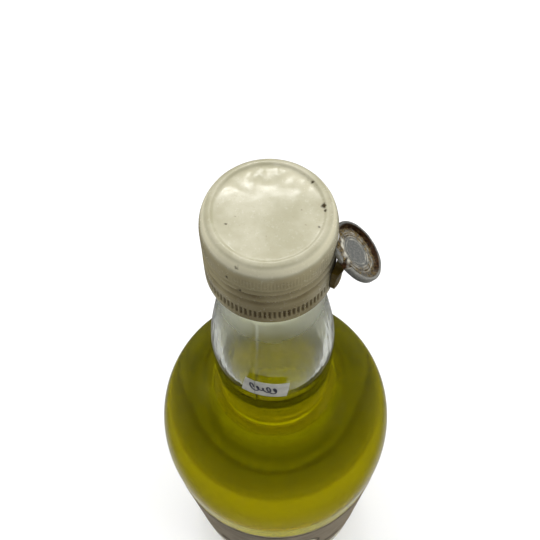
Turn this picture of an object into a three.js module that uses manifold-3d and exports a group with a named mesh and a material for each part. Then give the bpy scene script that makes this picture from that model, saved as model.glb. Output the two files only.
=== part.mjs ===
// A one-litre liqueur bottle: clear glass with a slender throat, a bulging neck and a long round
// shoulder, filled to the lower neck and closed by an enamelled screw cap. A pressed metal seal on a
// short strap hangs at the cap's right, a paper label wraps the body and a small sticker the neck.
// Millimetres, +Z up. The origin is the middle of the base, and -Y is the front, where the label is.
import * as THREE from "three";
import { mergeVertices } from "three/addons/utils/BufferGeometryUtils.js";
import Module from "manifold-3d";

const wasm = await Module();
wasm.setup();

// Driving dimensions, in millimetres
const TOTAL_HEIGHT = 300;
const GAP = 0.3; // left between pieces that touch

const BODY_RADIUS = 45.8;
const BODY_TOP = 137; // the straight wall ends here and the shoulder begins
const SHOULDER_RUN = 28; // half axes of the shoulder's quarter ellipse
const SHOULDER_RISE = 54;
const SHOULDER_FILLET = 5; // hollow rounding between shoulder and neck
const HEEL_RADIUS = 7;
const INNER_HEEL_RADIUS = 6;
const STAND_RADIUS = 30; // inner edge of the flat ring that the bottle stands on
const PUNT_HEIGHT = 4; // rise of the base inside that ring
const WALL = 2.8;
const FLOOR = 6;

const NECK_RADIUS = 18.9;
const NECK_BULGE_TOP = 226; // the neck starts to taper here
const THROAT_RADIUS = 13.9;
const THROAT_BOTTOM = 268; // the taper ends here
const FINISH_BOTTOM = 275; // the glass under the cap
const FINISH_RADIUS = 14.4;
const FINISH_BEVEL = 0.9;
const LIP_RUN = 2.4; // half axes of the rounding outside the mouth
const LIP_RISE = 4.6;
const MOUTH_RADIUS = 9.5;
const LIQUID_LEVEL = 220;

const CAP_HEIGHT = 24;
const CAP_TOP_RADIUS = 15.54;
const CAP_SKIRT_RADIUS = 16.2;
const CAP_WALL = 0.8;
const CAP_CORNER_RUN = 3; // half axes of the rounding at the cap's top
const CAP_CORNER_RISE = 6.4;
const CAP_PANEL_RADIUS = 12.1; // slightly sunk middle of the cap's top
const CAP_PANEL_DROP = 0.35;
const THREAD_FROM = 8; // heights below the cap's top
const THREAD_TO = 16.2;
const THREAD_PITCH = 3.2;
const THREAD_DEPTH = 0.45;
const SLOT_COUNT = 88; // short upright slots above the cap's lower edge
const SLOT_FROM = 18.3;
const SLOT_TO = 22;
const SLOT_WIDTH = 0.5;
const SLOT_DEPTH = 0.4;

const SEAL_RADIUS = 7.65;
const SEAL_DEPTH = 1.9;
const SEAL_BACK_RADIUS = 7.2;
const SEAL_RIM = 0.9; // width of the rolled rim
const SEAL_EDGE = 1.5; // height of the rim's straight side
const SEAL_DISH = 1.1; // depth of the floor below the rim
const SEAL_FLOOR_RADIUS = 6.4;
const SEAL_RING_RADIUS = 4.2; // raised ring on the floor
const SEAL_RING_WIDTH = 1.2;
const SEAL_RING_HEIGHT = 0.35;
const SEAL_CENTRE = new THREE.Vector3(20.4, -4.05, TOTAL_HEIGHT - 11.8);
const SEAL_TURN = THREE.MathUtils.degToRad(7.4); // its face looks right, a little to the back
const SEAL_LIFT = THREE.MathUtils.degToRad(47.2); // and up

const STRAP_WIDTH = 7;
const STRAP_THICKNESS = 1.9;
const STRAP_TOP = TOTAL_HEIGHT - 14.5;
const STRAP_BOTTOM = TOTAL_HEIGHT - 23.7;
const STRAP_BEND = TOTAL_HEIGHT - 19; // above this it leans out under the seal
const STRAP_FLARE = 0.6; // by so much
const STRAP_TURN = THREE.MathUtils.degToRad(70); // round from the front to the right
const STRAP_END_HEIGHT = 2.5; // its lower end narrows over this height
const STRAP_END_WIDTH = 4;

const LABEL_WIDTH = 118;
const LABEL_TOP = 122;
const LABEL_BOTTOM = 34;
const LABEL_THICKNESS = 0.4;

const STICKER_WIDTH = 13.4;
const STICKER_HEIGHT = 8.9;
const STICKER_MIDDLE = 232.2;
const STICKER_TURN = THREE.MathUtils.degToRad(-8.3);
const STICKER_TILT = THREE.MathUtils.degToRad(-7.5);
const STICKER_THICKNESS = 0.4;

const BOTTLE_SEGMENTS = 32;
const CAP_SEGMENTS = 44;
const SEAL_SEGMENTS = 24;

// Points of an arc of an ellipse, from one angle to another.
function arc(centreR, centreZ, radiusR, radiusZ, from, to, steps) {
  const points = [];
  for (let i = 0; i <= steps; i++) {
    const angle = from + ((to - from) * i) / steps;
    points.push(
      new THREE.Vector2(centreR + radiusR * Math.cos(angle), centreZ + radiusZ * Math.sin(angle)),
    );
  }
  return points;
}

// A profile turned about the upright axis. Angle 0 of the turn is at the front.
function lathe(points, segments) {
  return new THREE.LatheGeometry(points, segments).rotateX(Math.PI / 2);
}

function namedMesh(name, geometry, material) {
  const mesh = new THREE.Mesh(geometry, new THREE.MeshStandardMaterial(material));
  mesh.name = name;
  return mesh;
}

// Bottle

// Unit normal of the shoulder's ellipse, pointing out of the glass.
function shoulderNormal(angle) {
  return new THREE.Vector2(Math.cos(angle) / SHOULDER_RUN, Math.sin(angle) / SHOULDER_RISE).normalize();
}

function shoulderPoint(angle) {
  return new THREE.Vector2(
    BODY_RADIUS - SHOULDER_RUN + SHOULDER_RUN * Math.cos(angle),
    BODY_TOP + SHOULDER_RISE * Math.sin(angle),
  );
}

// Middle of the fillet circle when it touches the shoulder at an angle of its ellipse.
function filletCentre(angle) {
  return shoulderPoint(angle).addScaledVector(shoulderNormal(angle), SHOULDER_FILLET);
}

// The angle at which that circle touches the neck too, found by halving.
function filletAngle() {
  let low = 0;
  let high = Math.PI / 2;
  while (high - low > 1e-6) {
    const middle = (low + high) / 2;
    if (filletCentre(middle).x > NECK_RADIUS + SHOULDER_FILLET) low = middle;
    else high = middle;
  }
  return low;
}

// The wall from the foot of the shoulder to the foot of the neck, moved inwards by an inset.
function shoulderCurve(inset, shoulderSteps, filletSteps) {
  const points = [];
  const top = filletAngle();
  for (let i = 0; i <= shoulderSteps; i++) {
    const angle = (top * i) / shoulderSteps;
    points.push(shoulderPoint(angle).addScaledVector(shoulderNormal(angle), -inset));
  }
  const centre = filletCentre(top);
  const radius = SHOULDER_FILLET + inset;
  const normal = shoulderNormal(top);
  const from = Math.atan2(-normal.y, -normal.x);
  return points.concat(arc(centre.x, centre.y, radius, radius, from, -Math.PI, filletSteps).slice(1));
}

function neckRadius(z) {
  const taper = THREE.MathUtils.smoothstep(z, NECK_BULGE_TOP, THROAT_BOTTOM);
  return NECK_RADIUS + (THROAT_RADIUS - NECK_RADIUS) * taper;
}

// The tapering neck, from the bulge up to the throat.
function neckCurve(inset, steps) {
  const points = [];
  for (let i = 0; i <= steps; i++) {
    const z = NECK_BULGE_TOP + ((THROAT_BOTTOM - NECK_BULGE_TOP) * i) / steps;
    points.push(new THREE.Vector2(neckRadius(z) - inset, z));
  }
  return points;
}

// The domed base, from the axis out to the standing ring, raised by a height.
function puntCurve(height, steps) {
  const points = [];
  for (let i = 0; i <= steps; i++) {
    const share = i / steps;
    points.push(new THREE.Vector2(STAND_RADIUS * share, height + PUNT_HEIGHT * (1 - share * share)));
  }
  return points;
}

// The inside of the base and heel, from the axis out to the wall, moved inwards by an inset.
function innerBase(inset) {
  const wall = BODY_RADIUS - WALL - inset;
  const floor = FLOOR + inset;
  const radius = INNER_HEEL_RADIUS;
  const heel = arc(wall - radius, floor + radius, radius, radius, -Math.PI / 2, 0, 3);
  return puntCurve(floor, 2).concat(heel);
}

function makeBottle() {
  const finishTop = TOTAL_HEIGHT - CAP_PANEL_DROP - CAP_WALL - GAP;
  const heel = arc(BODY_RADIUS - HEEL_RADIUS, HEEL_RADIUS, HEEL_RADIUS, HEEL_RADIUS, -Math.PI / 2, 0, 4);
  const finish = [
    new THREE.Vector2(THROAT_RADIUS, FINISH_BOTTOM - FINISH_BEVEL),
    new THREE.Vector2(FINISH_RADIUS, FINISH_BOTTOM),
    ...arc(FINISH_RADIUS - LIP_RUN, finishTop - LIP_RISE, LIP_RUN, LIP_RISE, 0, Math.PI / 2, 2),
    new THREE.Vector2(MOUTH_RADIUS + FINISH_BEVEL, finishTop),
    new THREE.Vector2(MOUTH_RADIUS, finishTop - FINISH_BEVEL),
    new THREE.Vector2(MOUTH_RADIUS, FINISH_BOTTOM),
  ];
  const outside = [...puntCurve(0, 2), ...heel, ...shoulderCurve(0, 8, 4), ...neckCurve(0, 6)];
  const inside = [...innerBase(0), ...shoulderCurve(WALL, 6, 3), ...neckCurve(WALL, 5)].reverse();
  return namedMesh("glass_bottle", lathe([...outside, ...finish, ...inside], BOTTLE_SEGMENTS), {
    color: 0xdfe5da,
    roughness: 0.05,
    metalness: 0,
    transparent: true,
    opacity: 0.3,
  });
}

function makeLiqueur() {
  const inset = WALL + GAP;
  const profile = [
    ...innerBase(GAP),
    ...shoulderCurve(inset, 6, 3),
    new THREE.Vector2(NECK_RADIUS - inset, LIQUID_LEVEL),
    new THREE.Vector2(0, LIQUID_LEVEL),
  ];
  return namedMesh("liqueur", lathe(profile, BOTTLE_SEGMENTS), {
    color: 0xa3990a,
    roughness: 0.05,
    metalness: 0,
    transparent: true,
    opacity: 0.8,
  });
}

// Cap

// Height is measured down from the cap's top.
function capRadius(height) {
  return THREE.MathUtils.lerp(CAP_TOP_RADIUS, CAP_SKIRT_RADIUS, height / CAP_HEIGHT);
}

// How far the rolled thread is pressed in, at a height and an angle of the turn.
function threadDepth(height, angle) {
  const fadeIn = THREE.MathUtils.smoothstep(height, THREAD_FROM, THREAD_FROM + 1);
  const fadeOut = 1 - THREE.MathUtils.smoothstep(height, THREAD_TO - 1, THREAD_TO);
  const wave = 0.5 - 0.5 * Math.cos((2 * Math.PI * height) / THREAD_PITCH + angle);
  return THREAD_DEPTH * wave * fadeIn * fadeOut;
}

function capProfile() {
  const inner = CAP_TOP_RADIUS - CAP_WALL;
  const panelTop = TOTAL_HEIGHT - CAP_PANEL_DROP;
  const ceiling = panelTop - CAP_WALL;
  const cornerR = capRadius(CAP_CORNER_RISE) - CAP_CORNER_RUN;
  const cornerZ = TOTAL_HEIGHT - CAP_CORNER_RISE;
  const points = [
    new THREE.Vector2(0, ceiling),
    ...arc(cornerR, cornerZ, inner - cornerR, ceiling - cornerZ, Math.PI / 2, 0, 2),
    new THREE.Vector2(inner, TOTAL_HEIGHT - CAP_HEIGHT),
  ];
  const side = [CAP_HEIGHT, SLOT_TO, SLOT_FROM];
  for (let height = THREAD_TO; height > THREAD_FROM; height -= THREAD_PITCH / 4) side.push(height);
  side.push(THREAD_FROM);
  for (const height of side) points.push(new THREE.Vector2(capRadius(height), TOTAL_HEIGHT - height));
  points.push(
    ...arc(cornerR, cornerZ, CAP_CORNER_RUN, CAP_CORNER_RISE, 0, Math.PI / 2, 4),
    new THREE.Vector2(CAP_PANEL_RADIUS, panelTop),
    new THREE.Vector2(0, panelTop),
  );
  return points;
}

// Presses the screw thread into the outer side of a turned cap.
function pressThread(geometry) {
  const position = geometry.getAttribute("position");
  const point = new THREE.Vector3();
  for (let i = 0; i < position.count; i++) {
    point.fromBufferAttribute(position, i);
    const radius = Math.hypot(point.x, point.y);
    if (radius < CAP_TOP_RADIUS - CAP_WALL / 2) continue;
    const depth = threadDepth(TOTAL_HEIGHT - point.z, Math.atan2(point.x, -point.y));
    const share = (radius - depth) / radius;
    position.setXYZ(i, point.x * share, point.y * share, point.z);
  }
  return geometry;
}

// A closed geometry as a solid for joining and cutting.
function toSolid(geometry) {
  const bare = geometry.clone();
  bare.deleteAttribute("normal");
  bare.deleteAttribute("uv");
  const merged = mergeVertices(bare, 1e-3);
  const corners = [];
  const index = merged.index.array;
  for (let i = 0; i < index.length; i += 3) {
    const [a, b, c] = [index[i], index[i + 1], index[i + 2]];
    if (a !== b && b !== c && c !== a) corners.push(a, b, c);
  }
  return new wasm.Manifold(
    new wasm.Mesh({
      numProp: 3,
      vertProperties: merged.getAttribute("position").array,
      triVerts: new Uint32Array(corners),
    }),
  );
}

function toGeometry(solid) {
  const { vertProperties, triVerts } = solid.getMesh();
  const geometry = new THREE.BufferGeometry();
  geometry.setAttribute("position", new THREE.BufferAttribute(vertProperties, 3));
  geometry.setIndex(new THREE.BufferAttribute(triVerts, 1));
  geometry.computeVertexNormals();
  return geometry;
}

function makeCap() {
  let solid = toSolid(pressThread(lathe(capProfile(), CAP_SEGMENTS)));
  const middle = (SLOT_FROM + SLOT_TO) / 2;
  const radius = capRadius(middle);
  for (let i = 0; i < SLOT_COUNT; i++) {
    const slot = new THREE.BoxGeometry(SLOT_WIDTH, 2 * SLOT_DEPTH, SLOT_TO - SLOT_FROM)
      .translate(0, -radius, TOTAL_HEIGHT - middle)
      .rotateZ((2 * Math.PI * (i + 0.5)) / SLOT_COUNT);
    solid = solid.subtract(toSolid(slot));
  }
  return namedMesh("screw_cap", toGeometry(solid), { color: 0xd2cdb7, roughness: 0.4, metalness: 0.1 });
}

// Seal and strap

// A shallow dish with a rolled rim and a raised ring on its floor, facing along its own axis.
function sealProfile() {
  const floor = -SEAL_DISH;
  const roll = SEAL_RIM / 2;
  return [
    new THREE.Vector2(0, -SEAL_DEPTH),
    new THREE.Vector2(SEAL_BACK_RADIUS, -SEAL_DEPTH),
    new THREE.Vector2(SEAL_RADIUS, -SEAL_EDGE),
    ...arc(SEAL_RADIUS - roll, -roll, roll, roll, 0, Math.PI, 4),
    new THREE.Vector2(SEAL_FLOOR_RADIUS, floor),
    new THREE.Vector2(SEAL_RING_RADIUS + SEAL_RING_WIDTH / 2, floor),
    new THREE.Vector2(SEAL_RING_RADIUS, floor + SEAL_RING_HEIGHT),
    new THREE.Vector2(SEAL_RING_RADIUS - SEAL_RING_WIDTH / 2, floor),
    new THREE.Vector2(0, floor),
  ];
}

// The room that the cap's side takes up, with a gap round it.
function capRoom() {
  return new THREE.CylinderGeometry(CAP_TOP_RADIUS + GAP, CAP_SKIRT_RADIUS + GAP, CAP_HEIGHT, CAP_SEGMENTS)
    .rotateX(Math.PI / 2)
    .translate(0, 0, TOTAL_HEIGHT - CAP_HEIGHT / 2);
}

// The seal is pressed against the cap, so the cap's room is cut out of its edge.
function makeSeal() {
  const lean = new THREE.Euler(0, Math.PI / 2 - SEAL_LIFT, SEAL_TURN, "ZYX");
  const pose = new THREE.Matrix4().makeRotationFromEuler(lean).setPosition(SEAL_CENTRE);
  const disc = toSolid(lathe(sealProfile(), SEAL_SEGMENTS).applyMatrix4(pose));
  return namedMesh("seal_disc", toGeometry(disc.subtract(toSolid(capRoom()))), {
    color: 0xb4b6b4,
    roughness: 0.4,
    metalness: 0.9,
  });
}

// Bends a flat sheet onto a surface of turn: its width runs round the axis, its height upwards.
function wrapSheet(sheet, middleZ, turn, surfaceRadius) {
  const position = sheet.getAttribute("position");
  const middleRadius = surfaceRadius(middleZ);
  for (let i = 0; i < position.count; i++) {
    const z = middleZ + position.getY(i);
    const angle = turn + position.getX(i) / middleRadius;
    const radius = surfaceRadius(z) + position.getZ(i);
    position.setXYZ(i, radius * Math.sin(angle), -radius * Math.cos(angle), z);
  }
  sheet.computeVertexNormals();
  return sheet;
}

// A sheet whose back lies one gap off the surface that it is wrapped on.
function flatSheet(width, height, thickness, across, up) {
  return new THREE.BoxGeometry(width, height, thickness, across, up).translate(0, 0, GAP + thickness / 2);
}

// Narrows the strap's lower end in a round.
function roundEnd(sheet, height) {
  const position = sheet.getAttribute("position");
  for (let i = 0; i < position.count; i++) {
    const rise = Math.min(1, (position.getY(i) + height / 2) / STRAP_END_HEIGHT);
    const width = THREE.MathUtils.lerp(STRAP_END_WIDTH, STRAP_WIDTH, Math.sqrt(1 - (1 - rise) ** 2));
    position.setX(i, (position.getX(i) * width) / STRAP_WIDTH);
  }
  return sheet;
}

// The surface that the strap lies along, leaning out at the top.
function strapRadius(z) {
  const flare = THREE.MathUtils.smoothstep(z, STRAP_BEND, STRAP_TOP);
  return CAP_SKIRT_RADIUS + STRAP_FLARE * flare;
}

function makeStrap() {
  const height = STRAP_TOP - STRAP_BOTTOM;
  const sheet = roundEnd(flatSheet(STRAP_WIDTH, height, STRAP_THICKNESS, 5, 8), height);
  const middle = (STRAP_TOP + STRAP_BOTTOM) / 2;
  return namedMesh("seal_strap", wrapSheet(sheet, middle, STRAP_TURN, strapRadius), {
    color: 0x8d7c4c,
    roughness: 0.5,
    metalness: 0.3,
  });
}

// Paper

function makeLabel() {
  const sheet = flatSheet(LABEL_WIDTH, LABEL_TOP - LABEL_BOTTOM, LABEL_THICKNESS, 24, 1);
  const middle = (LABEL_TOP + LABEL_BOTTOM) / 2;
  return namedMesh("body_label", wrapSheet(sheet, middle, 0, () => BODY_RADIUS), {
    color: 0x8f8069,
    roughness: 0.9,
    metalness: 0,
  });
}

function makeSticker() {
  const sheet = flatSheet(STICKER_WIDTH, STICKER_HEIGHT, STICKER_THICKNESS, 8, 4).rotateZ(STICKER_TILT);
  return namedMesh("neck_sticker", wrapSheet(sheet, STICKER_MIDDLE, STICKER_TURN, neckRadius), {
    color: 0xeceae0,
    roughness: 0.9,
    metalness: 0,
  });
}

const liqueurBottle = new THREE.Group();
liqueurBottle.add(makeBottle(), makeLiqueur(), makeCap(), makeSeal(), makeStrap());
liqueurBottle.add(makeLabel(), makeSticker());

export default liqueurBottle;
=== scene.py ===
"""Looks of the liqueur bottle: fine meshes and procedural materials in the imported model's frame.

Shapes are worked out in millimetres and stored in metres. +Z is up and -Y is the front.
"""
import math

import bpy
from mathutils import Matrix, Vector, noise


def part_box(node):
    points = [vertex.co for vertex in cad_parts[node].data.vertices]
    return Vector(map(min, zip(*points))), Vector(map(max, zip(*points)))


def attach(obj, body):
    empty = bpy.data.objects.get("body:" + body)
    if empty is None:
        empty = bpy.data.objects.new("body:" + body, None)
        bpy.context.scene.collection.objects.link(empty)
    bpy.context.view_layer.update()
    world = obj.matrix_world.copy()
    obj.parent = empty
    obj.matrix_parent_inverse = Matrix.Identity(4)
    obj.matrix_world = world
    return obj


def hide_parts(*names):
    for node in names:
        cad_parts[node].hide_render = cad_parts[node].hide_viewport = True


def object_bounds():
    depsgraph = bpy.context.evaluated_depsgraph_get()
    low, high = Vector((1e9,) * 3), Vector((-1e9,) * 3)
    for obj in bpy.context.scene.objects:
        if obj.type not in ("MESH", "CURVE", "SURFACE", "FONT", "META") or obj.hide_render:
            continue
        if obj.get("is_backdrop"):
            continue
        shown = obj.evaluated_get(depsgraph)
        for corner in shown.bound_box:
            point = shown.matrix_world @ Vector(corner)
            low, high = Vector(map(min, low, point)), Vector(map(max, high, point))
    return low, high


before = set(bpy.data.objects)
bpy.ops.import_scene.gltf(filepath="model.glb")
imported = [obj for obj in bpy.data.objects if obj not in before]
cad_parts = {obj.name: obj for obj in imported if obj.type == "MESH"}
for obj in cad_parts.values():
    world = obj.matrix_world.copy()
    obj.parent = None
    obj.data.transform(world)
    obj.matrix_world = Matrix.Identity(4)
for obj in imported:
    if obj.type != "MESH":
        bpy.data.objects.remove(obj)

CAD_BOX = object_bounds()
MM = 0.001
TURN = 2 * math.pi
SHARP = math.radians(40)  # edges over this angle are not smoothed


def node_range(node, axis):
    """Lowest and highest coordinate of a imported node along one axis, in millimetres."""
    low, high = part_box(node)
    return low[axis] / MM, high[axis] / MM


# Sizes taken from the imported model
CAP_BOTTOM, CAP_TOP = node_range("screw_cap", 2)
MOUTH_TOP = node_range("glass_bottle", 2)[1]
BODY_RADIUS = node_range("glass_bottle", 0)[1]
LEVEL = node_range("liqueur", 2)[1]
LABEL_BOTTOM, LABEL_TOP = node_range("body_label", 2)
STRAP_BOTTOM, STRAP_TOP = node_range("seal_strap", 2)

# Bottle sizes, as in the construction
BODY_TOP = 137.0
SHOULDER_RUN = 28.0
SHOULDER_RISE = 54.0
SHOULDER_FILLET = 5.0
HEEL = 7.0
INNER_HEEL = 6.0
STAND_RADIUS = 30.0
PUNT = 4.0
WALL = 2.8
FLOOR = 6.0
NECK_RADIUS = 18.9
NECK_BULGE_TOP = 226.0
THROAT_RADIUS = 13.9
THROAT_BOTTOM = 268.0
FINISH_BOTTOM = 275.0
FINISH_RADIUS = 14.4
FINISH_BEVEL = 0.9
LIP_RUN = 2.4  # half axes of the rounding outside the mouth
LIP_RISE = 4.6
MOUTH_RADIUS = 9.5
SEAM_HEIGHT = 0.2  # mould seam on the neck
SEAM_WIDTH = 0.45
SEAM_ANGLE = math.radians(-18)
SEAM_FADE = (BODY_TOP + 10, BODY_TOP + 30)  # it rises out of the shoulder between these heights
LIQUID_BITE = 0.2  # how far the drink reaches into the glass
MENISCUS = 0.8  # height and width
MENISCUS_DIP = 0.4  # share of it by which the surface's middle lies below the level
BOTTLE_SEGMENTS = 240
DRINK_SEGMENTS = 160
PUNT_STEPS = 10
HEEL_STEPS = 12
INNER_HEEL_STEPS = 10
SHOULDER_STEPS = 44
FILLET_STEPS = 14
NECK_STEPS = 30
LIP_STEPS = 8
MENISCUS_STEPS = 12

# Cap sizes
CAP_TOP_RADIUS = 15.54
CAP_SKIRT_RADIUS = 16.2
CAP_WALL = 0.8
CAP_CORNER_RUN = 3.0  # half axes of the rounding at the top
CAP_CORNER_RISE = 6.4
CAP_PANEL_SLOPE = 0.7  # width of the slope down to the sunk panel
CAP_PANEL_DROP = 0.35
THREAD_FROM = 8.0
THREAD_TO = 16.2
THREAD_PITCH = 3.2
THREAD_DEPTH = 0.45
FLUTE_FROM = 4.4
FLUTE_TO = 7.6
FLUTE_COUNT = 132
FLUTE_DEPTH = 0.05
SLOT_COUNT = 88
SLOT_FROM = 18.3
SLOT_TO = 22.0
SLOT_SHARE = 0.42  # a slot's share of its spacing
SLOT_DEPTH = 0.4
THREAD_FADE = 1.0  # width over which thread, flutes and slots run out
FLUTE_FADE = 0.6
SLOT_FADE = 0.5
SLOT_EDGE = 0.2  # softness of a slot's sides
CAP_BEVEL = 0.25  # at the lower edge
CAP_SHARP = math.radians(60)
CAP_SEGMENTS = 6 * SLOT_COUNT
CAP_ROWS = 84
CAP_RINGS = 60
CAP_CORNER_STEPS = 24
CAP_INNER_STEPS = 8
DENT = 0.09  # shallow dents in the panel
DENT_SIZE = 4.5
DENT_FADE = (15.0, 11.0)  # radii between which they grow to their full depth
BACK_DENT = 0.16  # deeper dents at the panel's back
BACK_DENT_SIZE = 2.6
BACK_DENT_FADE = (12.6, 11.4)
BACK_DENT_FROM = (2.0, 8.0)  # distances behind the panel's middle
SIDE_DENT_SIZE = 3.5

# Seal and strap
SEAL_RADIUS = 7.65
SEAL_DEPTH = 1.9
SEAL_BACK_RADIUS = 7.2
SEAL_RIM = 0.9
SEAL_EDGE = 1.5
SEAL_DISH = 1.1
SEAL_FLOOR_RADIUS = 6.4
SEAL_CENTRE = Vector((20.4, -4.05, CAP_TOP - 11.8))
SEAL_TURN = math.radians(7.4)
SEAL_LIFT = math.radians(47.2)
SEAL_BEVEL = 0.1
SEAL_FRONT = -SEAL_DISH - 0.3  # points above this are on the seal's front
SEAL_SHARP = math.radians(70)
SEAL_SEGMENTS = 240
SEAL_ROLL_STEPS = 10
SEAL_FLOOR_STEPS = 72
BROAD_RING = 4.4
BROAD_RING_WIDTH = 0.5
SEAL_RINGS = [  # radius, width and rise of the rings in its dish
    (3.3, 0.35, 0.22),
    (BROAD_RING, BROAD_RING_WIDTH, 0.3),
    (5.5, 0.35, 0.22),
]
RIB_COUNT = 48  # fine ribs on the broad ring
RIB_HEIGHT = 0.03
KNOCK = 0.08
KNOCK_SIZE = 2.2
CRUSH_START = (-140, -122)  # degrees round the seal over which the crushed side begins and ends
CRUSH_END = (-58, -50)
CRUSH_RADIUS = (4.7, 5.4)
CRUSH_HEIGHT = -0.6
CRUSH_WAVES = 0.5
TEAR_TURN = -48.0
TEAR_WAVES = 4.0
TEAR_FADE = (5, 9)
TEAR_RADIUS = (5.2, 5.8)
TEAR_HEIGHT = -1.5
CAP_CLEARANCE = 0.05
STRAP_WIDTH = 6.3
STRAP_THICKNESS = 1.5
STRAP_GAP = 0.3
STRAP_BEND = CAP_TOP - 19  # above this it leans out under the seal
STRAP_FLARE = 0.6
STRAP_TURN = math.radians(70)
STRAP_END_HEIGHT = 2.6
STRAP_END_WIDTH = 2.2
STRAP_END_SHARE = 0.4  # share of the thickness left at its lower end
STRAP_BOW = 0.12
STRAP_BOW_SIZE = 3.0
STRAP_CROWN = 0.3  # share of the thickness lost towards its sides
STRAP_STEPS = (32, 48)  # across and up, as for the other sheets
STRAP_SHADE_EDGE = (-1.6, -0.6)  # places across it where the painted shade at the front edge fades
STRAP_DARK_END = (STRAP_BOTTOM + 2, STRAP_BOTTOM + 4)  # heights where the dark lower end fades

# Paper
LABEL_WIDTH = 118.0
PAPER = 0.16
INK = 0.03
BORDER = 1.3
FRAME_INSET = 4.0
OVAL_RUN = 17.0
OVAL_RISE = 19.0
OVAL_HEIGHT = 2.0  # above the label's middle
LABEL_STEPS = (120, 80)
LINE_STEPS = 48
OVAL_STEPS = 96
FIELD_STEPS = 64
BORDER_EDGE = 0.3  # softness of the border's inner edge
FRAME_LINE = 0.7
OVAL_LINES = [(1.4, 0.9), (-1.5, 0.35)]  # distance outside the oval, and width
BARS = [(31.0, -24.0, 5.0), (20.0, -31.5, 2.6)]  # half length, height and width
LEAF_BEND = 0.12  # bend and width are shares of a leaf's length
LEAF_WIDTH = 0.34
LEAF_TIP = 0.05
ROW_LEAVES = 5  # pairs of leaves along the top, to either side of the middle pair
ROW_SPACING = 9.5
ROW_RISE = 1.0
ROW_LEAN = 0.25
ROW_LEAF = 3.6
SPRIG_DROP = 11.0  # from the oval's middle down to its foot
SPRIG_LENGTH = 20.0
SPRIG_LINE = 0.6
SPRIG_PAIRS = 5
SPRIG_FIRST = 2.5
SPRIG_SPACING = 3.8
SPRIG_LEAN = 0.7
SPRIG_LEAF = 8.5
STICKER_WIDTH = 13.4
STICKER_HEIGHT = 8.9
STICKER_MIDDLE = 232.2
STICKER_TURN = math.radians(-8.3)
STICKER_TILT = math.radians(-7.5)
SCRIBBLE_LOOPS = 4.6
PEN_WIDTH = 0.5
STICKER_STEPS = (40, 24)
SCRIBBLE_STEPS = 200
SCRIBBLE_FROM = Vector((-4.4, 0.5))
SCRIBBLE_TO = Vector((3.4, 0.1))
LOOP_RUN = 0.75
LOOP_RISE = 1.5
LOOP_SLANT = 0.6  # in radians of a loop
LOOP_CHANGE = 0.45
LOOP_CHANGES = 9.0  # how far its growing and shrinking runs, in radians

# Camera of the photograph, from a fit to the bottle's outlines
CAMERA_PLACE = Vector((0.0, -81.1, CAP_TOP + 128.9))
CAMERA_PITCH = math.radians(62.69)
CAMERA_YAW = math.radians(-0.08)
CAMERA_ROLL = math.radians(-2.1)
CAMERA_LENS = 47.0
CAMERA_SENSOR = 36.0
CAMERA_NEAR = 0.01  # metres
LIGHT_BOUNCES = 48


def clamp(value):
    return min(1.0, max(0.0, value))


def smooth(start, end, value):
    """Grows smoothly from 0 at the start to 1 at the end."""
    share = clamp((value - start) / (end - start))
    return share * share * (3 - 2 * share)


def band(start, end, fade, value):
    """1 between two values, running out to 0 over the given width at both ends."""
    return smooth(start, start + fade, value) * (1 - smooth(end - fade, end, value))


def bell(off, width):
    """1 in the middle, falling off to either side over about the given width."""
    return math.exp(-((off / width) ** 2))


def wave(angle):
    """Swings from 0 to 1 and back once in a turn."""
    return 0.5 - 0.5 * math.cos(angle)


def lerp(a, b, share):
    return a + (b - a) * share


def wobble(place, size):
    """Smooth noise from -1 to 1 at a place, with features of about the given size."""
    return noise.noise(Vector(place) / size)


# Mesh making


def mesh_object(name, vertices, faces, sharp=None):
    """An object in the frame, from vertices in millimetres, smooth but for edges over the sharp angle."""
    mesh = bpy.data.meshes.new(name)
    mesh.from_pydata([Vector(v) * MM for v in vertices], [], faces)
    mesh.polygons.foreach_set("use_smooth", [True] * len(mesh.polygons))
    if sharp is not None:
        mesh.set_sharp_from_angle(angle=sharp)
    mesh.update()
    piece = bpy.data.objects.new(name, mesh)
    bpy.context.scene.collection.objects.link(piece)
    return piece


def polar(radius, angle, z):
    """A point round the upright axis. Angle 0 is at the front and grows towards the right."""
    return Vector((radius * math.sin(angle), -radius * math.cos(angle), z))


def angle_of(place):
    """The angle of a place round the upright axis, counted as in polar."""
    return math.atan2(place.x, -place.y)


def turned(name, profile, segments, shift=None, sharp=None):
    """A closed mesh made by turning (radius, height) points about the upright axis.

    shift(radius, height, angle) gives each point's own radius and height.
    """
    vertices, rings, faces = [], [], []
    for radius, z in profile:
        count = segments if radius > 1e-6 else 1
        rings.append([len(vertices) + i for i in range(count)])
        for i in range(count):
            angle = TURN * i / segments
            r, h = shift(radius, z, angle) if shift else (radius, z)
            vertices.append(polar(r, angle, h))
    for low, high in zip(rings, rings[1:]):
        for i in range(segments):
            j = i + 1
            corners = [low[i % len(low)], low[j % len(low)], high[j % len(high)], high[i % len(high)]]
            faces.append(list(dict.fromkeys(corners)))
    return mesh_object(name, vertices, faces, sharp)


def sheet_mesh(width, height, thickness, across, up, place):
    """Vertices and faces of a thin closed sheet. place(x, y, out) puts a point, with out 0 at its back."""
    vertices, faces = [], []
    row = across + 1
    layer = row * (up + 1)
    for out in (0.0, thickness):
        for j in range(up + 1):
            for i in range(row):
                vertices.append(place(width * (i / across - 0.5), height * (j / up - 0.5), out))
    for j in range(up):
        for i in range(across):
            a = j * row + i
            back = [a, a + row, a + row + 1, a + 1]
            faces.append(back)
            faces.append([layer + v for v in reversed(back)])
    rim = list(range(row))
    rim += [j * row + across for j in range(1, up + 1)]
    rim += [up * row + i for i in range(across - 1, -1, -1)]
    rim += [j * row for j in range(up - 1, 0, -1)]
    for a, b in zip(rim, rim[1:] + rim[:1]):
        faces.append([a, b, layer + b, layer + a])
    return vertices, faces


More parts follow.
